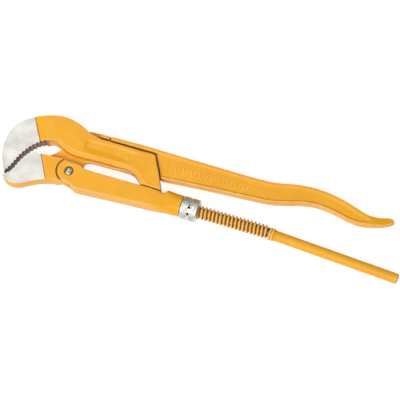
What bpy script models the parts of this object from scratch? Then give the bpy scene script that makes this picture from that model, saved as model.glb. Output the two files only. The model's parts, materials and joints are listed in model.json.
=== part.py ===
"""Swedish-pattern pipe wrench with S-shaped jaws, nominal size one inch.

The wrench lies flat: X runs from the jaws to the handle ends, Y is the way the
jaws open, and Z is the thickness. Numbers are millimetres from the pivot axis
at mid-thickness, and the helpers turn them into metres.
"""

import math

import bmesh
import bpy
from mathutils import Matrix, Vector

MM = 0.001

# Driving dimensions
HALF_THICKNESS = 9.25        # housing, upper jaw body and nut all share this
GROUND_HALF = 7.5            # ground side faces of both jaws
FOOT_HALF = 6.5              # what slides or turns inside the housing
CHANNEL_HALF = 6.8
SLOT_HALF = 3.2              # slot along the upper jaw's leg
SLOT_FRONT = -15.5
WEB_HALF = 2.8               # handle web and neck inside that slot
REAR_WEB_HALF = 4.8          # handle web behind the upper jaw's leg
FLANGE_HALF = 6.0
CLEARANCE = 0.3

PIVOT_IN_FRAME = (-109.95, -10.55, HALF_THICKNESS)

EAR_RADIUS = 9.4             # round front of the housing
EAR_GAP = 1.5
RIVET_RADIUS = 2.9
RIVET_HEAD_RADIUS = 3.45
RIVET_SEAT_RADIUS = 4.15
RIVET_SEAT_HEIGHT = 8.1      # floor of the recess that the rivet head sits in

TOOTH_PITCH = 3.3
TOOTH_DEPTH = 1.2

COLLAR_START = 79.5          # round rear end of the housing
COLLAR_RADIUS = 8.5
NUT_START = 94.4
NUT_LENGTH = 14.0
NUT_RADIUS = HALF_THICKNESS

THREAD_PITCH = 3.15
THREAD_RADIUS = 5.5
THREAD_ROOT = 4.2
THREAD_START = 88.65
THREAD_END = 166.3
THREAD_STEPS = 16            # facets in one turn

SPINDLE_Y = -0.3             # spindle, nut and bore lie this far off the pivot's level
PIN_X = 66.5                 # cross pin between upper jaw and spindle
PIN_RADIUS = 2.5

ROD_START = 167.8
ROD_END = 277.5
ROD_RADIUS = 4.3
ROD_DROP = -0.6              # the rod starts a little off the spindle's axis
ROD_BEND = math.radians(3.1)

PAINT = ("orange_paint", (0.80, 0.39, 0.05), 0.42, 0.0)
STEEL = ("bare_steel", (0.62, 0.61, 0.58), 0.35, 1.0)
ZINC = ("zinc_plate", (0.70, 0.71, 0.68), 0.40, 1.0)


# ---------------------------------------------------------------- helpers

def clear_scene():
    for obj in list(bpy.data.objects):
        bpy.data.objects.remove(obj)


def collection_named(name):
    made = bpy.data.collections.new(name)
    bpy.context.scene.collection.children.link(made)
    return made


def material_from(spec):
    name, colour, roughness, metallic = spec
    found = bpy.data.materials.get(name)
    if found:
        return found
    made = bpy.data.materials.new(name)
    made.use_nodes = True
    shader = made.node_tree.nodes["Principled BSDF"]
    shader.inputs["Base Color"].default_value = (*colour, 1.0)
    shader.inputs["Roughness"].default_value = roughness
    shader.inputs["Metallic"].default_value = metallic
    return made


def arc(cx, cy, radius, start, end, steps):
    """Points on a circle, from one angle to another, in degrees."""
    angles = [math.radians(start + (end - start) * i / steps) for i in range(steps + 1)]
    return [(cx + radius * math.cos(a), cy + radius * math.sin(a)) for a in angles]


def smooth(points, steps=4):
    """Catmull-Rom curve through the points."""
    line = [Vector(p) for p in points]
    line = [2 * line[0] - line[1]] + line + [2 * line[-1] - line[-2]]
    made = []
    for a, b, c, d in zip(line, line[1:], line[2:], line[3:]):
        for i in range(steps):
            t = i / steps
            p = 2 * b + (c - a) * t + (2 * a - 5 * b + 4 * c - d) * t * t
            p += (3 * b - 3 * c + d - a) * t ** 3
            made.append(tuple(p / 2))
    made.append(tuple(line[-2]))
    return made


def toothed(points, pitch, depth):
    """Saw teeth cut to the left of a line, as seen walking along it."""
    line = [Vector(p) for p in smooth(points, 12)]
    lengths = [0.0]
    for a, b in zip(line, line[1:]):
        lengths.append(lengths[-1] + (b - a).length)
    count = int(lengths[-1] / pitch)
    start = (lengths[-1] - count * pitch) / 2

    def at(distance, inward):
        i = max(k for k in range(len(line) - 1) if lengths[k] <= distance)
        along = (line[i + 1] - line[i]).normalized()
        point = line[i] + along * (distance - lengths[i])
        return tuple(point + Vector((-along.y, along.x)) * inward)

    made = [tuple(line[0])]
    for k in range(count):
        made.append(at(start + k * pitch, depth))
        made.append(at(start + (k + 0.55) * pitch, 0.0))
    made.append(at(start + count * pitch - 0.01, depth))
    made.append(tuple(line[-1]))
    return made


def mesh_object(name, mesh):
    obj = bpy.data.objects.new(name, mesh)
    PARTS.objects.link(obj)
    return obj


def plate(name, outline, low, high):
    """Solid of a flat outline between two heights."""
    curve = bpy.data.curves.new(name, "CURVE")
    curve.dimensions = "2D"
    curve.fill_mode = "BOTH"
    curve.extrude = (high - low) / 2 * MM
    spline = curve.splines.new("POLY")
    spline.points.add(len(outline) - 1)
    for point, (x, y) in zip(spline.points, outline):
        point.co = (x * MM, y * MM, 0, 1)
    spline.use_cyclic_u = True
    source = mesh_object(name + "_outline", curve)
    source.location.z = (low + high) / 2 * MM
    bpy.context.view_layer.update()
    graph = bpy.context.evaluated_depsgraph_get()
    mesh = bpy.data.meshes.new_from_object(source.evaluated_get(graph))
    mesh.transform(source.matrix_world)
    bpy.data.objects.remove(source)
    shape = bmesh.new()
    shape.from_mesh(mesh)
    bmesh.ops.remove_doubles(shape, verts=shape.verts, dist=1e-7)
    bmesh.ops.recalc_face_normals(shape, faces=shape.faces)
    shape.to_mesh(mesh)
    shape.free()
    return mesh_object(name, mesh)


def cylinder(name, start, end, radius, other_radius=None, sides=24):
    """Cylinder or cone between two points."""
    start, end = Vector(start) * MM, Vector(end) * MM
    axis = end - start
    shape = bmesh.new()
    turn = Vector((0, 0, 1)).rotation_difference(axis).to_matrix().to_4x4()
    bmesh.ops.create_cone(
        shape, cap_ends=True, segments=sides, depth=axis.length,
        radius1=radius * MM, radius2=(other_radius or radius) * MM,
        matrix=Matrix.Translation((start + end) / 2) @ turn)
    mesh = bpy.data.meshes.new(name)
    shape.to_mesh(mesh)
    shape.free()
    return mesh_object(name, mesh)


def turned(name, profile, sides=24):
    """Solid turned about the X axis from (x, radius) points, on the axis at both ends."""
    mesh = bpy.data.meshes.new(name)
    shape = bmesh.new()
    line = [shape.verts.new((x * MM, r * MM, 0)) for x, r in profile]
    for a, b in zip(line, line[1:]):
        shape.edges.new((a, b))
    shape.to_mesh(mesh)
    shape.free()
    obj = mesh_object(name, mesh)
    screw = obj.modifiers.new("turn", "SCREW")
    screw.axis = "X"
    screw.steps = screw.render_steps = sides
    screw.use_merge_vertices = True
    screw.merge_threshold = 1e-6
    screw.use_smooth_shade = False
    bake(obj)
    shape = bmesh.new()
    shape.from_mesh(obj.data)
    bmesh.ops.remove_doubles(shape, verts=shape.verts, dist=1e-7)
    bmesh.ops.recalc_face_normals(shape, faces=shape.faces)
    shape.to_mesh(obj.data)
    shape.free()
    return obj


def bake(obj):
    """Turns an object's modifiers into its mesh."""
    bpy.context.view_layer.update()
    graph = bpy.context.evaluated_depsgraph_get()
    mesh = bpy.data.meshes.new_from_object(obj.evaluated_get(graph))
    obj.modifiers.clear()
    obj.data = mesh


def combine(target, tool, operation):
    """Joins the tool to the target or cuts it away, and removes the tool."""
    modifier = target.modifiers.new(operation, "BOOLEAN")
    modifier.operation = operation
    modifier.solver = "EXACT"
    modifier.object = tool
    bake(target)
    bpy.data.objects.remove(tool)
    return target


def join(target, *tools):
    for tool in tools:
        combine(target, tool, "UNION")
    return target


def cut(target, *tools):
    for tool in tools:
        combine(target, tool, "DIFFERENCE")
    return target


def both_sides(name, outline, low, high):
    """The same outline as two plates, one on each side of mid-thickness."""
    return [plate(name + "_front", outline, low, high), plate(name + "_back", outline, -high, -low)]


def helical_ridge(name, root, crest, root_width, crest_width, start, end, steps):
    """Right-hand trapezoid ridge about the X axis. Its height fades out over the first
    and last half turn, which a Screw modifier can't do, so its sections are lofted here."""
    count = round((end - start) / THREAD_PITCH * steps)
    fade = steps / 2
    shape = bmesh.new()
    rings = []
    for k in range(count + 1):
        angle = 2 * math.pi * k / steps
        middle = start + THREAD_PITCH * k / steps
        height = min(1.0, k / fade, (count - k) / fade)
        top = root + 0.15 + (crest - root - 0.15) * height
        section = [
            (-root_width / 2, root), (-crest_width / 2, top),
            (crest_width / 2, top), (root_width / 2, root)]
        rings.append([
            shape.verts.new(Vector((
                middle + dx, radius * math.cos(angle), radius * math.sin(angle))) * MM)
            for dx, radius in section])
    for near, far in zip(rings, rings[1:]):
        for i in range(4):
            j = (i + 1) % 4
            shape.faces.new((near[i], near[j], far[j], far[i]))
    shape.faces.new(rings[0])
    shape.faces.new(rings[-1])
    bmesh.ops.recalc_face_normals(shape, faces=shape.faces)
    mesh = bpy.data.meshes.new(name)
    shape.to_mesh(mesh)
    shape.free()
    return mesh_object(name, mesh)


def finish(obj, spec, parent):
    """Gives a piece its material, soft shading on round stretches, and its parent."""
    obj.data.materials.clear()
    obj.data.materials.append(material_from(spec))
    obj.data.shade_smooth()
    obj.data.set_sharp_from_angle(angle=math.radians(30))
    obj.parent = parent
    return obj


# ---------------------------------------------------------------- outlines

HOOK_BACK = [
    (-50.0, -15.4), (-54.4, -6.5), (-57.0, 1.5), (-57.6, 8.5), (-56.2, 17.0), (-52.0, 25.6),
    (-46.0, 31.3), (-38.0, 36.0), (-28.0, 39.9), (-20.0, 41.6), (-13.5, 41.7), (-6.5, 40.2),
    (-0.5, 38.2), (5.0, 35.5), (10.5, 33.6), (17.5, 32.6), (30.0, 32.5)]
LEG_REAR = [(60.5, 32.5), (62.3, 31.4), (69.0, 19.5), (74.5, 8.0), (74.5, -5.4)]
FOOT_FRONT = [(59.0, -5.4), (59.0, 5.4)]
LEG_UNDERSIDE = [
    (59.0, 5.4), (56.4, 8.0), (54.1, 10.2), (51.0, 12.6), (47.0, 14.1), (42.0, 14.5), (28.0, 14.4)]
HOOK_MOUTH = [
    (15.0, 14.0), (6.0, 13.6), (-0.5, 13.6), (-4.0, 14.1), (-7.0, 14.9), (-10.0, 16.1),
    (-13.0, 17.6), (-17.0, 19.2), (-21.0, 19.4), (-25.0, 18.2)]
HOOK_TEETH = [
    (-25.0, 18.2), (-29.2, 16.0), (-32.6, 13.2), (-36.0, 9.6), (-39.2, 5.2), (-42.2, 0.0),
    (-44.2, -5.0), (-46.3, -9.8), (-49.3, -14.6)]
HOOK_STEP = [(-41.5, 36.5), (-28.3, 13.0)]       # where the ground face ends

JAW_TEETH = [
    (-48.7, -16.4), (-44.8, -12.4), (-42.5, -8.2), (-40.2, -3.0), (-37.8, 2.0), (-35.2, 5.0),
    (-31.5, 7.1)]
JAW_TOP = [(-31.5, 7.1), (-27.0, 7.4), (-20.0, 8.0), (-8.0, 8.2)]
JAW_UNDERSIDE = [
    (4.0, -8.2), (-5.0, -9.6), (-13.0, -11.6), (-21.5, -14.6), (-28.8, -18.2), (-34.5, -21.6),
    (-39.6, -23.0), (-45.0, -22.6), (-49.2, -20.3), (-50.6, -17.6)]
JAW_STEP = [(-27.5, 9.0), (-15.5, -14.0)]
HEAD_RADIUS = 8.6

NECK_FRONT = [
    (-21.5, 7.0), (-18.9, 9.4), (-15.8, 11.9), (-13.2, 14.8), (-10.4, 19.0), (-6.0, 25.5),
    (-1.0, 31.5), (3.6, 36.0), (7.5, 37.4)]
NECK_REAR = [(30.0, 13.1), (17.0, 12.9), (12.0, 12.2), (9.9, 10.8), (9.0, 8.6), (8.2, -2.0)]
HANDLE_TOP = [
    (7.5, 37.4), (24.0, 37.4), (50.0, 38.0), (80.0, 38.0), (110.0, 38.1), (135.0, 38.1),
    (150.0, 38.4), (160.0, 39.1), (169.0, 40.9), (178.0, 42.8), (190.0, 44.1), (203.0, 43.7),
    (218.0, 41.3), (231.0, 37.5), (240.0, 35.4), (249.0, 36.0), (255.5, 38.1)]
HANDLE_TIP = [(255.5, 38.1), (259.3, 38.1), (260.9, 36.2), (258.6, 33.6)]
HANDLE_UNDERSIDE = [
    (258.6, 33.6), (252.0, 30.4), (243.0, 27.9), (234.0, 26.5), (224.0, 27.3), (211.0, 29.8),
    (198.0, 30.9), (186.0, 29.4), (174.0, 25.9), (160.0, 22.6), (140.0, 21.0), (110.0, 19.0),
    (80.0, 16.6), (60.0, 14.9), (30.0, 13.1)]
FLANGE_START = 24.0
FLANGE_HEIGHT = 3.3
LOWER_FLANGE_HEIGHT = 1.7
LEG_ROOM_TOP = [(62.2, 34.5), (63.6, 31.4)]         # the thin web ends just behind the leg
LOWER_FLANGE_START = [(71.0, 17.6), (72.4, 15.0)]   # slants like the upper jaw's leg
POCKET_FOOT = 10.0                                  # below the handle's underside
POCKET_END = [(240.5, 32.0), (243.0, 30.8), (241.5, 29.6)]
POCKET_TAPER = 235.0

HOUSING_TOP = [
    (-1.0, 7.3), (5.5, 7.2), (8.6, 6.2), (11.5, 4.9), (20.5, 4.8), (60.0, 5.3), (76.5, 5.8)]
HOUSING_UNDERSIDE = [
    (COLLAR_START, -8.4), (60.0, -9.4), (30.0, -11.2), (12.0, -12.4), (7.5, -12.5), (3.5, -10.2),
    (-2.5, -9.1)]
CHANNEL_FLOOR = -6.2
HEEL_ROOM = 9.1              # the floor's front end is hollowed, clear of the lower jaw's heel


# ---------------------------------------------------------------- pieces

def make_upper_jaw(parent):
    outline = smooth(HOOK_BACK)[:-1] + [HOOK_BACK[-1]] + LEG_REAR + FOOT_FRONT
    outline += smooth(LEG_UNDERSIDE)[1:] + smooth(HOOK_MOUTH)[:-1]
    outline += toothed(HOOK_TEETH, TOOTH_PITCH, -TOOTH_DEPTH)
    body = plate("upper_jaw", outline, -HALF_THICKNESS, HALF_THICKNESS)

    beyond = 12.0
    (x0, y0), (x1, y1) = HOOK_STEP
    ground = [(x0, y0 + 9), (x0, y0), (x1, y1), (x1, -30), (-70, -30), (-70, y0 + 9)]
    cut(body, *both_sides("ground", ground, GROUND_HALF, beyond))

    slot = [(SLOT_FRONT, 8.0), (90.0, 8.0), (90.0, 60.0), (SLOT_FRONT, 60.0)]
    cut(body, plate("slot", slot, -SLOT_HALF, SLOT_HALF))
    eye_slot = [(50.0, -10.0), (90.0, -10.0), (90.0, 9.0), (50.0, 9.0)]
    cut(body, plate("eye_slot", eye_slot, -SLOT_HALF, SLOT_HALF))

    foot_side = [(50.0, -10.0), (90.0, -10.0), (90.0, 6.2), (50.0, 6.2)]
    cut(body, *both_sides("foot_side", foot_side, FOOT_HALF, beyond))

    panel = [(6.5, 28.3), (4.0, 15.5), (46.0, 15.5), (53.5, 17.5), (55.5, 28.3)]
    cut(body, *both_sides("panel", panel, HALF_THICKNESS - 1.0, beyond))

    hole = cylinder("pin_hole", (PIN_X, SPINDLE_Y, -20), (PIN_X, SPINDLE_Y, 20), PIN_RADIUS + 0.03)
    return finish(cut(body, hole), PAINT, parent)


def make_lower_jaw_handle(parent):
    heel = arc(0, 0, HEAD_RADIUS, 20, -70, 8)
    jaw_outline = JAW_TOP[-1:] + arc(0, 0, HEAD_RADIUS, 90, 20, 6) + heel
    jaw_outline += smooth(JAW_UNDERSIDE[1:])
    jaw_outline += toothed(JAW_TEETH, TOOTH_PITCH, -TOOTH_DEPTH) + JAW_TOP[1:-1]
    jaw = plate("lower_jaw_handle", jaw_outline, -HALF_THICKNESS + 0.25, HALF_THICKNESS - 0.25)

    (x0, y0), (x1, y1) = JAW_STEP
    ground = [(x0, y0 + 5), (x0, y0), (x1, y1), (x1, -30), (-60, -30), (-60, y0 + 5)]
    cut(jaw, *both_sides("ground", ground, GROUND_HALF, 12.0))
    ear_room = arc(0, 0, EAR_RADIUS + EAR_GAP, 110, 250, 14)
    ear_room += [(30, -30), (30, 30)]
    cut(jaw, *both_sides("ear_room", ear_room, FOOT_HALF, 12.0))

    top, underside = smooth(HANDLE_TOP), smooth(HANDLE_UNDERSIDE)
    outline = smooth(NECK_FRONT)[:-1] + top[:-1] + smooth(HANDLE_TIP, 3)[:-1]
    outline += underside[:-1] + smooth(NECK_REAR)
    web = plate("web", outline, -WEB_HALF, WEB_HALF)

    flanged = [p for p in top if p[0] >= FLANGE_START]
    full = flanged[:-1] + smooth(HANDLE_TIP, 3)[:-1] + underside[:-1]
    full += [(FLANGE_START, underside[-1][1])]
    flanges = plate("flanges", full, -FLANGE_HALF, FLANGE_HALF)
    pocket_top = [(x, y - FLANGE_HEIGHT) for x, y in flanged if x < POCKET_TAPER]
    pocket_low = [(x, y + LOWER_FLANGE_HEIGHT) for x, y in underside
                  if LOWER_FLANGE_START[1][0] < x < POCKET_TAPER]
    front_top = [p for p in pocket_top if p[0] < LEG_ROOM_TOP[0][0]]
    corner = [(LOWER_FLANGE_START[1][0], POCKET_FOOT), (FLANGE_START - 5, POCKET_FOOT),
              (FLANGE_START - 5, pocket_top[0][1])]
    leg_room = front_top + LEG_ROOM_TOP + LOWER_FLANGE_START + corner
    pocket = pocket_top + POCKET_END + pocket_low + LOWER_FLANGE_START + corner
    cut(flanges, *both_sides("pocket", pocket, REAR_WEB_HALF, 12.0))
    cut(flanges, *both_sides("leg_room", leg_room, WEB_HALF, 12.0))

    join(jaw, web, flanges)
    hole = cylinder("pivot_hole", (0, 0, -20), (0, 0, 20), RIVET_RADIUS + 0.06)
    return finish(cut(jaw, hole), PAINT, parent)


def make_housing(parent):
    outline = arc(0, 0, EAR_RADIUS, 252, 125, 14) + HOUSING_TOP
    outline += [(COLLAR_START, 7.0)] + HOUSING_UNDERSIDE[:-1]
    body = plate("housing", outline, -HALF_THICKNESS, HALF_THICKNESS)

    channel = [(-20.0, -20.0), (2.6, -20.0)] + arc(0, 0, HEEL_ROOM, -73, -43, 6)
    channel += [(78.0, CHANNEL_FLOOR), (78.0, 20.0), (-20.0, 20.0)]
    cut(body, plate("channel", channel, -CHANNEL_HALF, CHANNEL_HALF))

    collar_end, chamfer = NUT_START - CLEARANCE, 0.5
    collar = turned("collar", [
        (79.0, 0.0), (79.0, COLLAR_RADIUS), (collar_end - chamfer, COLLAR_RADIUS),
        (collar_end, COLLAR_RADIUS - chamfer), (collar_end, 0.0)], 32)
    collar.data.transform(Matrix.Translation((0, SPINDLE_Y * MM, 0)))
    join(body, collar)
    cut(body, cylinder("bore", (70, SPINDLE_Y, 0), (100, SPINDLE_Y, 0), THREAD_RADIUS + 0.5))

    hole = cylinder("rivet_hole", (0, 0, -20), (0, 0, 20), RIVET_RADIUS + 0.03)
    cut(body, hole)
    for side in (1, -1):
        floor, above = (0, 0, side * RIVET_SEAT_HEIGHT), (0, 0, side * 12)
        cut(body, cylinder("head_seat", floor, above, RIVET_SEAT_RADIUS))
    return finish(body, PAINT, parent)


def make_pivot_rivet(parent):
    base = RIVET_SEAT_HEIGHT + 0.02
    rise = HALF_THICKNESS - 0.2 - base
    angles = [math.radians(a) for a in (0, 30, 55, 75, 90)]
    dome = [(base + rise * math.sin(a), RIVET_HEAD_RADIUS * math.cos(a)) for a in angles[:-1]]
    half = [(base, RIVET_RADIUS)] + dome + [(base + rise, 0.0)]
    rivet = turned("pivot_rivet", [(-x, r) for x, r in reversed(half)] + half)
    rivet.data.transform(Matrix.Rotation(math.radians(90), 4, "Y"))
    return finish(rivet, STEEL, parent)


def make_spindle_pin(parent):
    length = FOOT_HALF - 0.1
    pin = cylinder("spindle_pin", (PIN_X, 0, -length), (PIN_X, 0, length), PIN_RADIUS)
    return finish(pin, STEEL, parent)


def make_threaded_spindle(parent):
    eye_half, eye_height = SLOT_HALF - 0.1, 4.9
    core = turned("threaded_spindle", [
        (76.0, 0.0), (76.0, THREAD_ROOT), (THREAD_END + 1.2, THREAD_ROOT),
        (THREAD_END + 1.2, 0.0)], THREAD_STEPS)
    eye = plate("eye", arc(PIN_X - 1.5, 0, eye_height, 90, 270, 10) + [
        (77.5, -eye_height), (77.5, eye_height)], -eye_half, eye_half)
    ridge = helical_ridge(
        "ridge", THREAD_ROOT - 0.4, THREAD_RADIUS, 2.0, 0.8, THREAD_START, THREAD_END,
        THREAD_STEPS)
    join(core, eye, ridge)
    hole = cylinder("eye_hole", (PIN_X, 0, -20), (PIN_X, 0, 20), PIN_RADIUS + 0.03)
    return finish(cut(core, hole), PAINT, parent)


def make_adjusting_nut(parent):
    end, chamfer, groove = NUT_START + NUT_LENGTH, 0.9, 0.5
    middle = NUT_START + NUT_LENGTH / 2
    body = turned("adjusting_nut", [
        (NUT_START, 0.0), (NUT_START, NUT_RADIUS - chamfer / 2),
        (NUT_START + chamfer / 2, NUT_RADIUS), (middle - 1.0, NUT_RADIUS),
        (middle - 1.0, NUT_RADIUS - groove), (middle + 1.0, NUT_RADIUS - groove),
        (middle + 1.0, NUT_RADIUS), (end - chamfer, NUT_RADIUS),
        (end, NUT_RADIUS - chamfer), (end, 0.0)], 32)
    tap = turned("tap", [
        (NUT_START - 4, 0.0), (NUT_START - 4, THREAD_ROOT + 0.4),
        (end + 4, THREAD_ROOT + 0.4), (end + 4, 0.0)], THREAD_STEPS)
    turns_before = 2
    start = THREAD_START - turns_before * THREAD_PITCH
    stop = start + math.ceil((end + 6 - start) / THREAD_PITCH) * THREAD_PITCH
    ridge = helical_ridge(
        "tap_ridge", THREAD_ROOT, THREAD_RADIUS + 0.4, 2.5, 1.3, start, stop, THREAD_STEPS)
    join(tap, ridge)
    return finish(cut(body, tap), ZINC, parent)


def make_rod_handle(parent):
    """Round bar with a ribbed collar that is welded to the spindle's end."""
    collar = turned("rod_handle", [
        (0.0, 0.0), (0.0, 4.6), (0.5, 5.4), (1.3, 5.4), (1.7, 4.7), (2.2, 4.7), (2.8, 5.4),
        (4.0, 5.4), (5.0, ROD_RADIUS), (ROD_END - ROD_START - 0.6, ROD_RADIUS),
        (ROD_END - ROD_START, ROD_RADIUS - 0.6), (ROD_END - ROD_START, 0.0)])
    turn = Matrix.Rotation(-ROD_BEND, 4, "Z")
    collar.data.transform(Matrix.Translation((ROD_START * MM, ROD_DROP * MM, 0)) @ turn)
    return finish(collar, PAINT, parent)


def empty_at(name, drop):
    x, y, z = PIVOT_IN_FRAME
    made = bpy.data.objects.new(name, None)
    made.location = (x * MM, (y + drop) * MM, z * MM)
    PARTS.objects.link(made)
    return made


def main():
    pivot = empty_at("pivot_axis", 0)
    make_housing(pivot)
    make_pivot_rivet(pivot)
    make_lower_jaw_handle(empty_at("handle_axis", 0))
    make_upper_jaw(empty_at("jaw_slide", 0))
    spindle = empty_at("spindle_axis", SPINDLE_Y)
    make_spindle_pin(spindle)
    make_threaded_spindle(spindle)
    make_rod_handle(spindle)
    make_adjusting_nut(empty_at("nut_axis", SPINDLE_Y))


clear_scene()
PARTS = collection_named("pipe_wrench")
main()
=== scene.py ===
"""Final looks of a Swedish-pattern pipe wrench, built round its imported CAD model.

The frame is in metres. Shapes here are worked out in millimetres from the pivot
rivet's axis at mid-thickness, with X towards the handle ends and Y towards the
swinging handle, and are moved back into the frame by the helpers.
"""

import json
import math

import bmesh
import bpy
import numpy as np
from mathutils import Matrix, Vector


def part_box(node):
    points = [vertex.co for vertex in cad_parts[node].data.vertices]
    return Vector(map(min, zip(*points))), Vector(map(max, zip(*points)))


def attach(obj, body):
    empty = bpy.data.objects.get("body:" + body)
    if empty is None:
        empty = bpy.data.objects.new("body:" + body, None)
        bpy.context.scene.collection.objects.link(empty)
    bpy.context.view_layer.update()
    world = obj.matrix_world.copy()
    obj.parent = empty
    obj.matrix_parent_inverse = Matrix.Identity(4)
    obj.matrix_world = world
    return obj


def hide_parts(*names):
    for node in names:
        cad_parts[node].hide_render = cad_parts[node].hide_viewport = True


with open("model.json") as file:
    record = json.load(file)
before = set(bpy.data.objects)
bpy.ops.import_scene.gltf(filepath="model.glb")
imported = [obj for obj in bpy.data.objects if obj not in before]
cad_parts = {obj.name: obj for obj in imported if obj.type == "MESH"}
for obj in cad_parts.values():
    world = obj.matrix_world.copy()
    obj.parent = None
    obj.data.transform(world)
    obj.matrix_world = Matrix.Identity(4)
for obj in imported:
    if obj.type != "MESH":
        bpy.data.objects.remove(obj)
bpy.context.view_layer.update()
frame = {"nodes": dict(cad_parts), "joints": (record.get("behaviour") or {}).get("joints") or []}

MM = 0.001
JOINTS = {joint["name"]: joint for joint in frame["joints"]}
PIVOT = Vector(JOINTS["handle_swing"]["pos_m"])
SPINDLE = Vector(JOINTS["nut_turn"]["pos_m"])
SPINDLE_Y = (SPINDLE.y - PIVOT.y) / MM

# Thicknesses, half of each, about the mid-plane
BODY_HALF = 9.25
JAW_HALF = 9.0
GROUND_HALF = 7.5
SLOT_WALL = 3.6              # the hook's slot and its walls lie below this height

# The housing's channel and bore
CHANNEL_FLOOR = -6.2
CHANNEL_END = 78.0
CHANNEL_HALF = 6.8
BORE_RADIUS = 6.0

# Edges of the ground steel on each jaw
HOOK_STEP = [(-41.5, 36.5), (-28.3, 13.0)]
JAW_STEP = [(-27.5, 9.0), (-15.5, -14.0)]

# The rows of teeth
HOOK_TEETH = [
    (-25.0, 18.2), (-29.2, 16.0), (-32.6, 13.2), (-36.0, 9.6), (-39.2, 5.2), (-42.2, 0.0),
    (-44.2, -5.0), (-46.3, -9.8), (-49.3, -14.6)]
JAW_TEETH = [
    (-48.7, -16.4), (-44.8, -12.4), (-42.5, -8.2), (-40.2, -3.0), (-37.8, 2.0), (-35.2, 5.0),
    (-31.5, 7.1)]
TOOTH_ZONE = 3.0             # nearer than this to a row, nothing is rounded
TOOTH_REACH = 1.9

# Recessed panel on the leg's two faces
PANEL = [(4.9, 28.4), (3.6, 17.2), (46.5, 17.2), (54.0, 19.2), (56.5, 29.8), (25.0, 29.5)]
PANEL_TOP = [PANEL[4], PANEL[5], PANEL[0]]
PANEL_FRONT, PANEL_BOTTOM = PANEL[:2], PANEL[1:5]
# Along this edge of the hook and its leg the faces are stepped down a little
HOOK_RIM = [
    (-26.0, 17.6), (-21.0, 19.4), (-17.0, 19.2), (-10.0, 16.1), (-4.0, 14.1), (6.0, 13.6),
    (28.0, 14.4), (42.0, 14.5), (49.0, 13.5), (54.1, 10.2), (59.0, 5.4)]

SIZE_STUD = np.array([41.5, 23.5])

# Plain raised ribs cast on the handle's web: first, last and count of each group
RIB_GROUPS = [(77.5, 100.5, 8), (107.0, 141.0, 11)]
RIB_TALL, RIB_WIDE, RIB_RISE = 5.6, 1.1, 0.38
NOSE_RISE = 2.5

THREAD_PITCH = 3.15
THREAD_RADIUS = 5.5
THREAD_ROOT = 3.95
THREAD_START = 88.65
THREAD_END = 166.3
CORE_START = 76.5            # the round core begins here, inside the flat eye
EYE_END = 77.5
CORE_OVERRUN = 1.2

VOXEL = 0.35


# ---------------------------------------------------------------- meshes

def to_frame(points):
    """Millimetres from the pivot to frame metres."""
    return np.asarray(points) * MM + np.array(PIVOT)


def read_vertices(mesh):
    flat = np.empty(len(mesh.vertices) * 3)
    mesh.vertices.foreach_get("co", flat)
    return (flat.reshape(-1, 3) - np.array(PIVOT)) / MM


def write_vertices(mesh, points):
    mesh.vertices.foreach_set("co", to_frame(points).ravel())
    mesh.update()


def new_object(name, mesh):
    obj = bpy.data.objects.new(name, mesh)
    bpy.context.scene.collection.objects.link(obj)
    return obj


def bake(obj):
    """Turns an object's modifiers into its mesh."""
    bpy.context.view_layer.update()
    graph = bpy.context.evaluated_depsgraph_get()
    mesh = bpy.data.meshes.new_from_object(obj.evaluated_get(graph))
    obj.modifiers.clear()
    obj.data = mesh
    return obj


def copy_of(node, name):
    """The CAD node's mesh as a new, welded object."""
    mesh = frame["nodes"][node].data.copy()
    shape = bmesh.new()
    shape.from_mesh(mesh)
    bmesh.ops.remove_doubles(shape, verts=shape.verts, dist=1e-6)
    shape.to_mesh(mesh)
    shape.free()
    mesh.materials.clear()
    return new_object(name, mesh)


def remesh(obj, voxel):
    modifier = obj.modifiers.new("remesh", "REMESH")
    modifier.mode = "VOXEL"
    modifier.voxel_size = voxel * MM
    modifier.use_smooth_shade = True
    bake(obj)
    obj.data.materials.clear()
    return obj


def relax(obj, repeats, weights=None, factor=0.5):
    """Rounds the edges, less where the weights are low."""
    modifier = obj.modifiers.new("relax", "SMOOTH")
    modifier.factor = factor
    modifier.iterations = repeats
    if weights is not None:
        group = obj.vertex_groups.new(name="relax")
        levels = np.round(np.clip(weights, 0, 1) * 10).astype(int)
        for level in range(1, 11):
            picked = np.nonzero(levels == level)[0].tolist()
            group.add(picked, level / 10, "REPLACE")
        modifier.vertex_group = group.name
    bake(obj)
    obj.vertex_groups.clear()
    return obj


def grid_object(name, columns, rows, place):
    """A surface of columns by rows points, closed round the columns, with capped ends."""
    points = [place(i, j) for j in range(rows) for i in range(columns)]
    mesh = bpy.data.meshes.new(name)
    faces = []
    for near in range(0, (rows - 1) * columns, columns):
        far = near + columns
        for i in range(columns):
            k = (i + 1) % columns
            faces.append((near + i, near + k, far + k, far + i))
    faces.append(tuple(range(columns))[::-1])
    faces.append(tuple((rows - 1) * columns + i for i in range(columns)))
    mesh.from_pydata(to_frame(points).tolist(), [], faces)
    shape = bmesh.new()
    shape.from_mesh(mesh)
    bmesh.ops.recalc_face_normals(shape, faces=shape.faces)
    shape.to_mesh(mesh)
    shape.free()
    return new_object(name, mesh)


def plate(name, outline, low, high, far_outline=None):
    """Solid between two heights, of one outline or tapering to a second one."""
    shape = bmesh.new()
    rings = []
    for line, z in ((outline, low), (far_outline or outline, high)):
        rings.append([shape.verts.new(to_frame((x, y, z))) for x, y in line])
    shape.faces.new(rings[0])
    shape.faces.new(rings[1])
    for i in range(len(outline)):
        j = (i + 1) % len(outline)
        side = shape.faces.new((rings[0][i], rings[0][j], rings[1][j], rings[1][i]))
        side.material_index = 1 if i == 0 else 0
    bmesh.ops.recalc_face_normals(shape, faces=shape.faces)
    mesh = bpy.data.meshes.new(name)
    shape.to_mesh(mesh)
    shape.free()
    return new_object(name, mesh)


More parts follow.
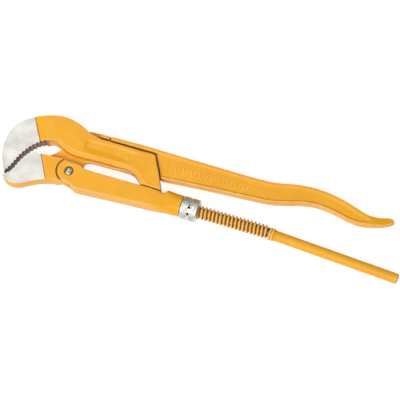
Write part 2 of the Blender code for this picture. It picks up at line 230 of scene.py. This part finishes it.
def combine(target, tool, operation):
    modifier = target.modifiers.new(operation, "BOOLEAN")
    modifier.operation = operation
    modifier.solver = "EXACT"
    modifier.object = tool
    modifier.material_mode = "TRANSFER"
    bake(target)
    bpy.data.objects.remove(tool)
    return target


def smoothstep(low, high, value):
    t = np.clip((value - low) / (high - low), 0, 1)
    return t * t * (3 - 2 * t)


def distance_to(line, points, closed=False):
    """Distance in the plan from each point to a line through the given points."""
    line = np.asarray(line, float)
    ends = np.roll(line, -1, axis=0) if closed else line[1:]
    starts = line if closed else line[:-1]
    best = np.full(len(points), 1e9)
    for a, b in zip(starts, ends):
        along = b - a
        t = np.clip(((points - a) @ along) / (along @ along), 0, 1)
        gap = points - (a + t[:, None] * along)
        best = np.minimum(best, np.hypot(gap[:, 0], gap[:, 1]))
    return best


def inside(outline, points):
    """Whether each point lies inside a closed outline."""
    line = np.asarray(outline, float)
    result = np.zeros(len(points), bool)
    for (ax, ay), (bx, by) in zip(line, np.roll(line, -1, axis=0)):
        if ay == by:
            continue
        crosses = (ay > points[:, 1]) != (by > points[:, 1])
        at = ax + (points[:, 1] - ay) / (by - ay) * (bx - ax)
        result ^= crosses & (points[:, 0] < at)
    return result


def right_of(step, points):
    """Signed distance past a step's line, towards the handle ends."""
    (x0, y0), (x1, y1) = step
    along = np.array([x1 - x0, y1 - y0])
    along = along / np.hypot(*along)
    normal = np.array([-along[1], along[0]])
    if normal[0] < 0:
        normal = -normal
    return (points - np.array([x0, y0])) @ normal


def sink_faces(points, drop, blend_from, blend_to):
    """Moves both faces towards the mid-plane by a drop, fading out below the face."""
    height = np.abs(points[:, 2])
    share = smoothstep(blend_from, blend_to, height)
    points[:, 2] = np.sign(points[:, 2]) * (height - drop * share)
    return points


def lumps(points, scale, amount):
    """Gentle unevenness of a forged surface, from a few crossed waves."""
    x, y, z = (points / scale).T
    wave = np.sin(x + 1.3 * np.sin(0.7 * y + 0.4)) * np.sin(1.1 * y + 0.9 * np.sin(0.8 * x + z))
    wave += 0.5 * np.sin(2.3 * x + 1.7 * y + 0.6 * z)
    return (wave / 1.5 + 1) * amount / 2


# ---------------------------------------------------------------- materials

def material(name):
    made = bpy.data.materials.new(name)
    made.use_nodes = True
    return made, made.node_tree, made.node_tree.nodes["Principled BSDF"]


def add(tree, kind, **settings):
    made = tree.nodes.new(kind)
    for key, value in settings.items():
        setattr(made, key, value)
    return made


def place(tree, rotation=(0, 0, 0), scale=(1, 1, 1)):
    coordinates = add(tree, "ShaderNodeTexCoord")
    mapping = add(tree, "ShaderNodeMapping")
    mapping.inputs["Rotation"].default_value = rotation
    mapping.inputs["Scale"].default_value = scale
    tree.links.new(coordinates.outputs["Object"], mapping.inputs["Vector"])
    return mapping.outputs["Vector"]


def noise(tree, vector, scale, detail=3.0, roughness=0.5):
    made = add(tree, "ShaderNodeTexNoise")
    made.inputs["Scale"].default_value = scale
    made.inputs["Detail"].default_value = detail
    made.inputs["Roughness"].default_value = roughness
    tree.links.new(vector, made.inputs["Vector"])
    return made.outputs["Fac"]


def ramp(tree, value, *stops):
    made = add(tree, "ShaderNodeValToRGB")
    for i, (position, level) in enumerate(stops):
        colour = level if isinstance(level, tuple) else (level, level, level)
        element = made.color_ramp.elements[i] if i < 2 else made.color_ramp.elements.new(position)
        element.position = position
        element.color = (*colour, 1)
    tree.links.new(value, made.inputs["Fac"])
    return made.outputs["Color"]


def blend_colour(tree, share, first, second, mode="MIX"):
    """First mixed with second; each is a colour or another node's output."""
    made = add(tree, "ShaderNodeMix", data_type="RGBA", blend_type=mode)
    for index, value in ((0, share), (6, first), (7, second)):
        socket = made.inputs[index]
        if isinstance(value, bpy.types.NodeSocket):
            tree.links.new(value, socket)
        elif isinstance(value, tuple):
            socket.default_value = (*value, 1)
        else:
            socket.default_value = value
    return made.outputs[2]


def cavity(tree, reach):
    """White in the open, black deep in a recess."""
    made = add(tree, "ShaderNodeAmbientOcclusion", samples=8)
    made.inputs["Distance"].default_value = reach * MM
    return made.outputs["AO"]


def edge(tree, low, high):
    """White on convex edges."""
    geometry = add(tree, "ShaderNodeNewGeometry")
    return ramp(tree, geometry.outputs["Pointiness"], (low, 0.0), (high, 1.0))


def bump(tree, height, strength, distance, before=None):
    made = add(tree, "ShaderNodeBump")
    made.inputs["Strength"].default_value = strength
    made.inputs["Distance"].default_value = distance * MM
    tree.links.new(height, made.inputs["Height"])
    if before is not None:
        tree.links.new(before, made.inputs["Normal"])
    return made.outputs["Normal"]


def paint_material(name, reach=3.0, depth=(0.16, 0.68), recess=(0.340, 0.105, 0.010)):
    """Orange powder coat over a forged surface: mottled, with painted shade in recesses and pale
    edges that are partly wear and partly painted highlight.
    """
    made, tree, shader = material(name)
    where = place(tree)
    broad = ramp(tree, noise(tree, where, 45, 3), (0.32, 0.0), (0.68, 1.0))
    colour = blend_colour(tree, broad, (0.890, 0.420, 0.012), (0.850, 0.380, 0.006))
    speckle = ramp(tree, noise(tree, where, 900, 2), (0.30, 0.0), (0.75, 1.0))
    flecks = blend_colour(tree, speckle, (0.93, 0.91, 0.90), (1.0, 1.0, 1.0))
    colour = blend_colour(tree, 1.0, colour, flecks, "MULTIPLY")
    low, high = depth
    # painted shade: where ambient occlusion is low the paint turns to the dark recess colour
    painted_recess_shade = ramp(tree, cavity(tree, reach), (low, 1.0), (high, 0.0))
    colour = blend_colour(tree, painted_recess_shade, colour, recess)
    patchy = ramp(tree, noise(tree, where, 210, 3), (0.30, 0.35), (0.65, 1.0))
    # pale edges from pointiness, in patches: partly wear, partly painted highlight on the rounded
    # creases
    rim = blend_colour(tree, 1.0, edge(tree, 0.504, 0.532), patchy, "MULTIPLY")
    worn_and_highlit = blend_colour(tree, rim, colour, (0.960, 0.580, 0.190))
    tree.links.new(worn_and_highlit, shader.inputs["Base Color"])
    sheen = ramp(tree, noise(tree, where, 160, 4), (0.30, 0.33), (0.75, 0.46))
    tree.links.new(sheen, shader.inputs["Roughness"])
    shader.inputs["Specular IOR Level"].default_value = 0.20
    shader.inputs["Coat Weight"].default_value = 0.04
    shader.inputs["Coat Roughness"].default_value = 0.25
    forged = bump(tree, noise(tree, where, 130, 3), 0.22, 0.30)
    peel = bump(tree, noise(tree, where, 1100, 2), 0.20, 0.05, forged)
    tree.links.new(peel, shader.inputs["Normal"])
    return made


def shoulder_material(name):
    """Dark brown on the sloping shoulder along the ground edge, as painted shade."""
    made, tree, shader = material(name)
    where = place(tree)
    patches = ramp(tree, noise(tree, where, 260, 4), (0.35, 0.0), (0.70, 1.0))
    # the dark browns stand in for the shade on the shoulder: painted shade
    colour = blend_colour(tree, patches, (0.300, 0.095, 0.010), (0.520, 0.210, 0.030))
    tree.links.new(colour, shader.inputs["Base Color"])
    rough = ramp(tree, noise(tree, where, 500, 3), (0.30, 0.45), (0.75, 0.65))
    tree.links.new(rough, shader.inputs["Roughness"])
    tree.links.new(bump(tree, noise(tree, where, 600, 3), 0.3, 0.1), shader.inputs["Normal"])
    return made


def tooth_material(name):
    """Teeth tan in the open, with painted shade going to black between them, and mottled."""
    made, tree, shader = material(name)
    where = place(tree)
    # painted shade: ambient occlusion takes the colour from tan on the tips to black deep between the
    # teeth
    depth = cavity(tree, 1.6)
    colour = ramp(
        tree, depth, (0.66, (0.004, 0.001, 0.001)), (0.97, (0.420, 0.200, 0.060)),
        (0.84, (0.028, 0.008, 0.002)))
    mottle = ramp(tree, noise(tree, where, 420, 4), (0.30, 0.70), (0.70, 1.05))
    colour = blend_colour(tree, 1.0, colour, mottle, "MULTIPLY")
    tree.links.new(colour, shader.inputs["Base Color"])
    rough = ramp(tree, noise(tree, where, 600, 3), (0.30, 0.40), (0.75, 0.65))
    tree.links.new(rough, shader.inputs["Roughness"])
    tree.links.new(bump(tree, noise(tree, where, 800, 3), 0.3, 0.08), shader.inputs["Normal"])
    return made


def ground_steel(name, angle):
    """Bare steel with grinding lines along one direction and faint stains."""
    made, tree, shader = material(name)
    where = place(tree)
    lines = noise(tree, place(tree, (0, 0, angle), (1.0, 16.0, 1.0)), 320, 4, 0.65)
    stain = ramp(tree, noise(tree, where, 65, 4, 0.6), (0.36, 0.0), (0.66, 1.0))
    colour = blend_colour(tree, stain, (0.500, 0.500, 0.460), (0.705, 0.692, 0.650))
    streak = ramp(tree, lines, (0.30, 0.80), (0.70, 1.05))
    colour = blend_colour(tree, 1.0, colour, streak, "MULTIPLY")
    tree.links.new(colour, shader.inputs["Base Color"])
    shader.inputs["Metallic"].default_value = 1.0
    rough = ramp(tree, lines, (0.30, 0.42), (0.75, 0.60))
    tree.links.new(rough, shader.inputs["Roughness"])
    tree.links.new(bump(tree, lines, 0.25, 0.05), shader.inputs["Normal"])
    return made


def plated_metal(name, colour, roughness, dark):
    """Dull plated or bright metal, darker in its recesses and with cloudy patches."""
    made, tree, shader = material(name)
    where = place(tree)
    cloud = ramp(tree, noise(tree, where, 240, 4), (0.35, 0.0), (0.70, 1.0))
    tone = blend_colour(tree, cloud, colour, tuple(0.86 * c for c in colour))
    # darker in the recesses where ambient occlusion is low
    recess_darkening = ramp(tree, cavity(tree, 0.8), (0.30, 1.0), (0.90, 0.0))
    tone = blend_colour(tree, recess_darkening, tone, dark)
    tree.links.new(tone, shader.inputs["Base Color"])
    shader.inputs["Metallic"].default_value = 1.0
    rough = ramp(
        tree, noise(tree, where, 500, 3), (0.30, roughness - 0.06), (0.75, roughness + 0.10))
    tree.links.new(rough, shader.inputs["Roughness"])
    tree.links.new(bump(tree, noise(tree, where, 900, 3), 0.15, 0.05), shader.inputs["Normal"])
    return made


# ---------------------------------------------------------------- pieces

def finish_piece(obj, body, node, sharp_angle=None):
    """Smooth shading, the piece attached to its body, and its CAD node hidden."""
    obj.data.shade_smooth()
    if sharp_angle:
        obj.data.set_sharp_from_angle(angle=math.radians(sharp_angle))
    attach(obj, body)
    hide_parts(node)
    return obj


def full_thickness(obj, half, above):
    """Fills recesses in the two outer faces: what lies above a height moves out to the face."""
    points = read_vertices(obj.data)
    height = np.abs(points[:, 2])
    moved = height > above
    points[moved, 2] = np.sign(points[moved, 2]) * half
    write_vertices(obj.data, points)
    shape = bmesh.new()
    shape.from_mesh(obj.data)
    bmesh.ops.remove_doubles(shape, verts=shape.verts, dist=1e-6)
    bmesh.ops.dissolve_degenerate(shape, edges=shape.edges, dist=1e-7)
    shape.to_mesh(obj.data)
    shape.free()
    return obj


def grind(obj, step, slope, steel, shade):
    """Cuts the jaw's two side faces flat, and leaves a sloping shoulder along the step."""
    (x0, y0), (x1, y1) = step
    top, bottom, far, reach = max(y0, y1) + 12, min(y0, y1) - 30, -80, 12.0
    lean = (x1 - x0) / (y1 - y0)
    outline = [
        (x0 + (top - y0) * lean, top), (x0 + (bottom - y0) * lean, bottom),
        (far, bottom), (far, top)]
    shift = (reach - GROUND_HALF) * slope
    wide = [(x + shift, y) for x, y in outline[:2]] + outline[2:]
    # each cutter's first side leaves the sloping shoulder, which takes the dark painted shade
    # material
    for tool in (
            plate("grinding", outline, GROUND_HALF, reach, wide),
            plate("grinding", wide, -reach, -GROUND_HALF, outline)):
        tool.data.materials.append(steel)
        tool.data.materials.append(shade)
        combine(obj, tool, "DIFFERENCE")
    return obj


def bulge(obj, weights, amount, half):
    """Draft of a forging: side walls lean in from the mid-plane to both faces."""
    points = read_vertices(obj.data)
    normals = np.empty(len(points) * 3)
    obj.data.vertices.foreach_get("normal", normals)
    across = normals.reshape(-1, 3)[:, :2]
    lean = amount * np.clip(np.abs(points[:, 2]) / half, 0, 1) ** 2 * weights
    points[:, :2] -= across * lean[:, None]
    write_vertices(obj.data, points)


def mark_teeth(obj, line, reach, tooth):
    """Gives the rows of teeth their own look."""
    obj.data.materials.append(tooth)
    index = len(obj.data.materials) - 1
    count = len(obj.data.polygons)
    centres, normals = np.empty(count * 3), np.empty(count * 3)
    obj.data.polygons.foreach_get("center", centres)
    obj.data.polygons.foreach_get("normal", normals)
    centres = (centres.reshape(-1, 3) - np.array(PIVOT)) / MM
    near = distance_to(line, centres[:, :2]) < reach
    sideways = np.abs(normals.reshape(-1, 3)[:, 2]) < 0.75
    current = np.empty(count, np.int32)
    obj.data.polygons.foreach_get("material_index", current)
    current[near & sideways] = index
    obj.data.polygons.foreach_set("material_index", current)


def make_upper_jaw(paint, steel, shade, tooth):
    obj = full_thickness(copy_of("upper_jaw", "hook_forging"), BODY_HALF, 7.3)
    remesh(obj, VOXEL)
    points = read_vertices(obj.data)
    plan = points[:, :2]
    toothed = distance_to(HOOK_TEETH, plan) < TOOTH_ZONE
    inner = np.abs(points[:, 2]) < SLOT_WALL
    weights = np.where(toothed, 0.0, np.where(inner, 0.2, 1.0))
    relax(obj, 24, weights)
    outer = (~toothed & (plan[:, 0] < 55) & ~inner).astype(float)
    bulge(obj, outer * (1 - 0.6 * smoothstep(-20, -5, plan[:, 0])), 0.6, BODY_HALF)

    points = read_vertices(obj.data)
    plan = points[:, :2]
    past = right_of(HOOK_STEP, plan)
    drop = 1.1 * np.clip(1 - (past - 0.9) / 5.3, 0, 1)
    sides = smoothstep(0.0, 3.8, distance_to(PANEL_FRONT, plan))
    sides *= smoothstep(0.0, 6.5, distance_to(PANEL_BOTTOM, plan))
    upper = smoothstep(0.0, 1.7, distance_to(PANEL_TOP, plan))
    fading = 1 - 0.75 * smoothstep(36, 54, plan[:, 0])
    drop = np.maximum(drop, 0.95 * sides * upper * fading * inside(PANEL, plan))
    rim = 1 - smoothstep(1.9, 3.1, distance_to(HOOK_RIM, plan))
    drop = np.maximum(drop, 0.75 * rim * smoothstep(-19, -14, plan[:, 0]))
    drop = drop - 0.35 * (1 - smoothstep(1.6, 2.2, np.hypot(*(plan - SIZE_STUD).T)))
    drop = drop + lumps(points, 9.0, 0.08)
    sink_faces(points, drop, 5.0, 8.4)
    write_vertices(obj.data, points)
    relax(obj, 2, (past > -2) * 0.6)
    obj.data.materials.append(paint)
    grind(obj, HOOK_STEP, 1.7, steel, shade)
    mark_teeth(obj, HOOK_TEETH, TOOTH_REACH, tooth)
    return finish_piece(obj, "hook", "upper_jaw", 40)


def rib_height(plan):
    """1 on the plain raised ribs of the handle's web, 0 elsewhere, with soft flanks."""
    height = np.zeros(len(plan))
    for first, last, count in RIB_GROUPS:
        for k in range(count):
            x = first + (last - first) * k / (count - 1)
            y = 26.3 + 0.04 * (x - 76)
            lean = 0.16 * (-1) ** k
            foot = np.array([x - lean * RIB_TALL / 2, y - RIB_TALL / 2 + RIB_WIDE / 2])
            head = np.array([x + lean * RIB_TALL / 2, y + RIB_TALL / 2 - RIB_WIDE / 2])
            gap = distance_to([foot, head], plan)
            rib = 1 - smoothstep(RIB_WIDE / 2 - 0.35, RIB_WIDE / 2 + 0.25, gap)
            height = np.maximum(height, rib)
    return height


def slim_tip(points):
    """The handle thins towards its tip."""
    points[:, 2] *= 1 - 0.42 * smoothstep(238.0, 262.0, points[:, 0])
    return points


def nose_height(plan):
    """1 on the pad at the neck's nose, ahead of the flange, behind a narrow notch."""
    x, y = plan.T
    return smoothstep(11.8, 15.5, x) * (1 - smoothstep(22.1, 22.7, x)) * smoothstep(33.9, 34.5, y)


def make_lower_jaw_handle(paint, steel, shade, tooth):
    obj = full_thickness(copy_of("lower_jaw_handle", "jaw_and_handle_forging"), JAW_HALF, 6.8)
    remesh(obj, VOXEL)
    points = read_vertices(obj.data)
    plan = points[:, :2]
    toothed = distance_to(JAW_TEETH, plan) < TOOTH_ZONE
    ear = np.hypot(*plan.T) < 12.5
    weights = np.where(toothed, 0.0, np.where(ear, 0.25, 1.0))
    relax(obj, 20, weights)
    jaw = (~toothed & ~ear & (plan[:, 0] < -10) & (plan[:, 1] < 8.5)).astype(float)
    bulge(obj, jaw, 0.7, JAW_HALF)
    points = read_vertices(obj.data)
    points = slim_tip(points)
    plan = points[:, :2]
    raised = RIB_RISE * rib_height(plan) + NOSE_RISE * nose_height(plan)
    points = sink_faces(points, lumps(points, 11.0, 0.08) - raised, 1.0, 2.5)
    write_vertices(obj.data, points)
    obj.data.materials.append(paint)
    grind(obj, JAW_STEP, 0.6, steel, shade)
    mark_teeth(obj, JAW_TEETH, TOOTH_REACH, tooth)
    return finish_piece(obj, "handle", "lower_jaw_handle", 40)


def collar_section(x):
    """Top, bottom, half-width and squareness of the housing's rear end."""
    rise = smoothstep(78.0, 81.0, x)
    turn = smoothstep(68.0, 94.0, x)
    top = 5.5 + 3.2 * rise
    bottom = -9.05 + 0.25 * smoothstep(68.0, 92.0, x)
    return top, bottom, 9.25 - 0.65 * turn, 16.0 / (1 + 6.5 * turn)


def make_collar(name, start, end, columns=96, rows=60):
    def at(i, j):
        angle = 2 * math.pi * i / columns
        x = start + (end - start) * j / (rows - 1)
        top, bottom, wide, square = collar_section(x)
        chamfer = max(0.0, 0.5 - (end - x))
        c, s = math.cos(angle), math.sin(angle)
        power = 2.0 / square
        y = math.copysign(abs(c) ** power, c) * ((top - bottom) / 2 - chamfer)
        z = math.copysign(abs(s) ** power, s) * (wide - chamfer)
        return x, (top + bottom) / 2 + y, z

    return grid_object(name, columns, rows, at)


def make_housing(paint):
    obj = copy_of("housing", "housing_forging")
    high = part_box("housing")[1]
    end, joined = (high.x - PIVOT.x) / MM, 68.0
    rear = [(joined, -20.0), (joined, 20.0), (end + 5, 20.0), (end + 5, -20.0)]
    combine(obj, plate("rear", rear, -20.0, 20.0), "DIFFERENCE")
    combine(obj, make_collar("collar", joined - 0.5, end), "UNION")
    channel = [(40.0, CHANNEL_FLOOR), (CHANNEL_END, CHANNEL_FLOOR), (CHANNEL_END, 20.0), (40.0, 20.0)]
    combine(obj, plate("channel", channel, -CHANNEL_HALF, CHANNEL_HALF), "DIFFERENCE")
    bore_columns = 64

    def bore_at(i, j):
        angle = 2 * math.pi * i / bore_columns
        across, high = BORE_RADIUS * math.cos(angle), BORE_RADIUS * math.sin(angle)
        return 70.0 + 30.0 * j, SPINDLE_Y + across, high

    combine(obj, grid_object("bore", bore_columns, 2, bore_at), "DIFFERENCE")
    remesh(obj, VOXEL)
    points = read_vertices(obj.data)
    weights = np.where(np.hypot(points[:, 0], points[:, 1]) < 5, 0.1, 1.0)
    weights = np.where(points[:, 0] > 92.5, 0.3, weights)
    relax(obj, 22, weights)
    points = read_vertices(obj.data)
    points = sink_faces(points, lumps(points, 10.0, 0.08), 7.0, 9.0)
    write_vertices(obj.data, points)
    obj.data.materials.append(paint)
    return finish_piece(obj, "housing", "housing")


def thread_profile(u, crest, root):
    """Radius over one pitch, u from 0 to 1, with a rounded crest and valley."""
    flank = 0.5 + 0.5 * math.cos(2 * math.pi * u)
    lifted = min(1.0, max(0.0, (flank - 0.12) / 0.62))
    return root + (crest - root) * (lifted * lifted * (3 - 2 * lifted))


def make_spindle(paint, dark, columns=56):
    """The threaded rod, with a bare dark neck at its rear end."""
    step = 0.2
    start, end = CORE_START, THREAD_END + CORE_OVERRUN
    rows = int((end - start) / step) + 1
    fade, runout = 0.6 * THREAD_PITCH, 0.6

    def at(i, j):
        angle = 2 * math.pi * i / columns
        x = start + (end - start) * j / (rows - 1)
        u = ((x - THREAD_START) / THREAD_PITCH - angle / (2 * math.pi)) % 1.0
        grow = min(max((x - THREAD_START) / fade, 0), 1, max((THREAD_END - x) / runout, 0))
        radius = THREAD_ROOT + (thread_profile(u, THREAD_RADIUS, THREAD_ROOT) - THREAD_ROOT) * grow
        return x, SPINDLE_Y + radius * math.cos(angle), radius * math.sin(angle)

    obj = grid_object("spindle_thread", columns, rows, at)
    obj.data.materials.append(paint)
    obj.data.materials.append(dark)
    for face in obj.data.polygons:
        if (face.center.x - PIVOT.x) / MM > THREAD_END - 0.1:
            face.material_index = 1
    return obj


def build_spindle(paint, dark):
    """The threaded rod joined to the CAD spindle's eye."""
    thread = make_spindle(paint, dark)
    eye = copy_of("threaded_spindle", "spindle_eye")
    high = to_frame((EYE_END, 20, 20))
    shape = bmesh.new()
    shape.from_mesh(eye.data)
    cut = bmesh.ops.bisect_plane(
        shape, geom=shape.verts[:] + shape.edges[:] + shape.faces[:], dist=1e-7,
        plane_co=(high[0], 0, 0), plane_no=(1, 0, 0), clear_outer=True)
    rim = [e for e in cut["geom_cut"] if isinstance(e, bmesh.types.BMEdge)]
    bmesh.ops.holes_fill(shape, edges=rim)
    bmesh.ops.recalc_face_normals(shape, faces=shape.faces)
    shape.to_mesh(eye.data)
    shape.free()
    eye.data.materials.append(paint)
    combine(thread, eye, "UNION")
    thread.name = "threaded_spindle_detail"
    return finish_piece(thread, "hook", "threaded_spindle", 50)


def make_rod(paint):
    """Round bar with a ribbed collar, slightly bent, with a softly rounded end."""
    low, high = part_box("rod_handle")
    start = (low.x - PIVOT.x) / MM
    bend = math.radians(3.1)
    radius, drop, gap = 4.3, -0.6, 0.24
    length = ((high.x - low.x) / MM - gap - 0.2) / math.cos(bend)
    profile = [
        (0.0, 4.35), (0.15, 4.85), (0.55, 5.25), (1.0, 5.38), (1.45, 5.2), (1.8, 4.75), (2.1, 4.6),
        (2.4, 4.75), (2.75, 5.15), (3.2, 5.38), (3.7, 5.25), (4.2, 4.8), (4.9, 4.42), (5.8, radius)]
    body = [(5.8 + (length - 7.0) * k / 60, radius) for k in range(1, 61)]
    tail = [(length - 1.2 + 1.2 * math.sin(a), radius - 1.2 + 1.2 * math.cos(a))
            for a in (0.4, 0.8, 1.2, 1.57)]
    profile = profile + body + tail
    columns = 64

    def at(i, j):
        angle = 2 * math.pi * i / columns
        x, r = profile[j]
        if 6.5 < x < length - 1.5:
            r += 0.03 * math.sin(0.9 * x + 2 * math.sin(angle)) - 0.03
        side, z = r * math.cos(angle), r * math.sin(angle)
        return (
            start + gap + x * math.cos(bend) + side * math.sin(bend),
            SPINDLE_Y + drop - x * math.sin(bend) + side * math.cos(bend), z)

    obj = grid_object("rod_handle_bar", columns, len(profile), at)
    obj.data.materials.append(paint)
    return finish_piece(obj, "hook", "rod_handle", 50)


def make_nut(zinc, dark, columns=308):
    """Two knurled bands with a plain groove between them, and small punched marks in it."""
    low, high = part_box("adjusting_nut")
    start, end = (low.x - PIVOT.x) / MM, (high.x - PIVOT.x) / MM
    middle, radius = (start + end) / 2, BODY_HALF
    step, teeth, depth = 0.11, 44, 0.22
    rows = int((end - start) / step) + 1
    marks = [(27, 8, 0.95), (86, 15, 0.50), (97, 6, 0.90), (131, 7, 0.85)]

    def at(i, j):
        angle = 2 * math.pi * i / columns
        x = start + (end - start) * j / (rows - 1)
        from_end = min(x - start, end - x)
        chamfer = max(0.0, 0.8 - from_end) if x > middle else max(0.0, 0.4 - from_end)
        r = radius - chamfer * 0.9
        off = abs(x - middle)
        groove = max(0.0, min(1.0, (1.25 - off) / 0.3))
        r -= 0.22 * groove
        turn = x / (2 * math.pi * radius / teeth)
        around = angle * teeth / (2 * math.pi)
        a, b = (around + turn) % 1.0, (around - turn) % 1.0
        cross = max(abs(2 * a - 1), abs(2 * b - 1))
        knurl = max(0.0, (cross - 0.55) / 0.45)
        plain = max(groove, min(1.0, max(0.0, 1.2 - from_end) / 0.4))
        r -= depth * knurl * (1 - plain)
        for centre, width, tall in marks:
            away = abs((math.degrees(angle) - centre + 180) % 360 - 180)
            inside_mark = min(1.0, max(0.0, (width - away) / 1.2), max(0.0, (tall - off) / 0.12))
            r -= 0.6 * inside_mark
        return x, SPINDLE_Y + r * math.cos(angle), r * math.sin(angle)

    obj = grid_object("knurled_nut", columns, rows, at)
    obj.data.materials.append(zinc)
    obj.data.materials.append(dark)
    # the floors of the punched marks take the dark material, a painted shade for deep pits
    for face in obj.data.polygons:
        centre = (Vector(face.center) - PIVOT) / MM
        reach = math.hypot(centre.y - SPINDLE_Y, centre.z)
        if abs(centre.x - middle) < 1.1 and reach < radius - 0.45:
            face.material_index = 1
    tap_columns, tap_step, overrun = 48, 0.25, 3.0
    tap_rows = int((end - start + 2 * overrun) / tap_step) + 1

    def tap_at(i, j):
        angle = 2 * math.pi * i / tap_columns
        x = start - overrun + (end - start + 2 * overrun) * j / (tap_rows - 1)
        u = ((x - THREAD_START) / THREAD_PITCH - angle / (2 * math.pi)) % 1.0
        wide = 0.5 + 0.5 * math.cos(2 * math.pi * u)
        lifted = min(1.0, max(0.0, (wide - 0.02) / 0.50))
        r = THREAD_ROOT + 0.5 + (THREAD_RADIUS - THREAD_ROOT - 0.1) * lifted
        return x, SPINDLE_Y + r * math.cos(angle), r * math.sin(angle)

    tap = grid_object("tap", tap_columns, tap_rows, tap_at)
    tap.data.materials.append(zinc)
    combine(obj, tap, "DIFFERENCE")
    return finish_piece(obj, "nut", "adjusting_nut", 40)


def make_rivet(steel):
    """Domed rivet with a head in each of the housing's recesses."""
    base, top, radius, shank = 8.12, 9.05, 3.45, 2.9
    half = [(base, shank), (base, radius - 0.15), (base + 0.12, radius)]
    for k in range(1, 10):
        a = math.radians(10 * k)
        half.append((base + 0.12 + (top - base - 0.12) * math.sin(a), radius * math.cos(a)))
    profile = [(-z, r) for z, r in reversed(half)] + half
    columns = 48

    def at(i, j):
        angle = 2 * math.pi * i / columns
        z, r = profile[j]
        r = max(r, 0.05)
        if abs(z) > base + 0.2:
            dents = math.sin(1.3 * r * math.cos(angle) - 0.6)
            dents *= math.sin(1.1 * r * math.sin(angle) + 0.9)
            z -= math.copysign(0.12 * max(0.0, dents), z)
        return r * math.cos(angle), r * math.sin(angle), z

    obj = grid_object("rivet_domed", columns, len(profile), at)
    obj.data.materials.append(steel)
    return finish_piece(obj, "housing", "pivot_rivet", 50)


# ---------------------------------------------------------------- stage

def make_camera():
    """Nearly square on, from a little below and to the right, through a long lens."""
    across, below = math.radians(8), math.radians(13)
    back = Vector((math.sin(across), -math.sin(below), 0))
    back.z = math.sqrt(1 - back.x ** 2 - back.y ** 2)
    roll = math.radians(16.5)
    level = (Vector((1, 0, 0)) - back * back.x).normalized()
    right = level * math.cos(roll) + back.cross(level) * math.sin(roll)
    up = back.cross(right)
    distance = 8.0
    width = 0.3193
    data = bpy.data.cameras.new("camera")
    data.sensor_width = 36
    data.lens = data.sensor_width * distance / width
    data.clip_end = 30
    camera = bpy.data.objects.new("camera", data)
    bpy.context.scene.collection.objects.link(camera)
    aim = PIVOT + Vector((0, 0, 9 * MM)) + right * 0.3275 * width - up * 0.074 * width
    pose = Matrix((right, up, back)).transposed().to_4x4()
    pose.translation = aim + back * distance
    camera.matrix_world = pose
    bpy.context.scene.camera = camera


def area_light(name, location, target, size, power, colour=(1, 1, 1)):
    data = bpy.data.lights.new(name, "AREA")
    data.shape = "RECTANGLE"
    data.size, data.size_y = size
    data.energy = power
    data.color = colour
    light = bpy.data.objects.new(name, data)
    light.location = location
    light.rotation_euler = (Vector(target) - Vector(location)).to_track_quat("-Z", "Y").to_euler()
    bpy.context.scene.collection.objects.link(light)


def make_stage():
    size = 6.0
    mesh = bpy.data.meshes.new("floor")
    corners = [(-size, -size, 0), (size, -size, 0), (size, size, 0), (-size, size, 0)]
    mesh.from_pydata(corners, [], [(0, 1, 2, 3)])
    floor = new_object("floor", mesh)
    floor.location.z = -0.0002
    made, _, shader = material("floor")
    shader.inputs["Base Color"].default_value = (0.24, 0.24, 0.24, 1)
    shader.inputs["Roughness"].default_value = 0.9
    shader.inputs["Specular IOR Level"].default_value = 0.0
    shader.inputs["Emission Color"].default_value = (1, 1, 1, 1)
    shader.inputs["Emission Strength"].default_value = 0.87
    mesh.materials.append(made)
    world = bpy.data.worlds.new("studio")
    bpy.context.scene.world = world
    world.use_nodes = True
    background = world.node_tree.nodes["Background"]
    background.inputs["Color"].default_value = (1, 1, 1, 1)
    background.inputs["Strength"].default_value = 0.24
    area_light("overhead", (-0.28, 0.24, 1.0), (-0.08, 0.0, 0), (0.50, 0.40), 2.7)
    area_light("low_front", (-0.30, -0.70, 1.05), (-0.05, 0, 0), (0.9, 0.6), 13.2)
    bpy.context.scene.view_settings.view_transform = "Standard"


def main():
    paint = paint_material("orange_powder_coat")
    hook_steel = ground_steel("ground_steel_hook", math.radians(-52))
    jaw_steel = ground_steel("ground_steel_jaw", math.radians(20))
    rivet_steel = plated_metal("rivet_steel", (0.30, 0.28, 0.21), 0.32, (0.05, 0.04, 0.025))
    zinc = plated_metal("zinc_plate", (0.76, 0.77, 0.72), 0.38, (0.20, 0.20, 0.17))
    # the thread's paint has a near-black painted shade in its valleys
    thread_paint = paint_material("orange_thread", 1.8, (0.48, 0.92), (0.075, 0.016, 0.002))
    # dark steel for the spindle's neck, and painted shade in the nut's punched marks
    dark = plated_metal("dark_steel_and_pit_shade", (0.10, 0.095, 0.085), 0.42, (0.015, 0.012, 0.010))
    shade = shoulder_material("step_shoulder_painted_shade")
    tooth = tooth_material("tooth_steel")
    make_upper_jaw(paint, hook_steel, shade, tooth)
    make_lower_jaw_handle(paint, jaw_steel, shade, tooth)
    make_housing(paint)
    build_spindle(thread_paint, dark)
    make_rod(paint)
    make_nut(zinc, dark)
    make_rivet(rivet_steel)
    pin = frame["nodes"]["spindle_pin"]
    pin.data.materials.clear()
    pin.data.materials.append(rivet_steel)
    make_camera()
    make_stage()


main()
bpy.context.view_layer.update()
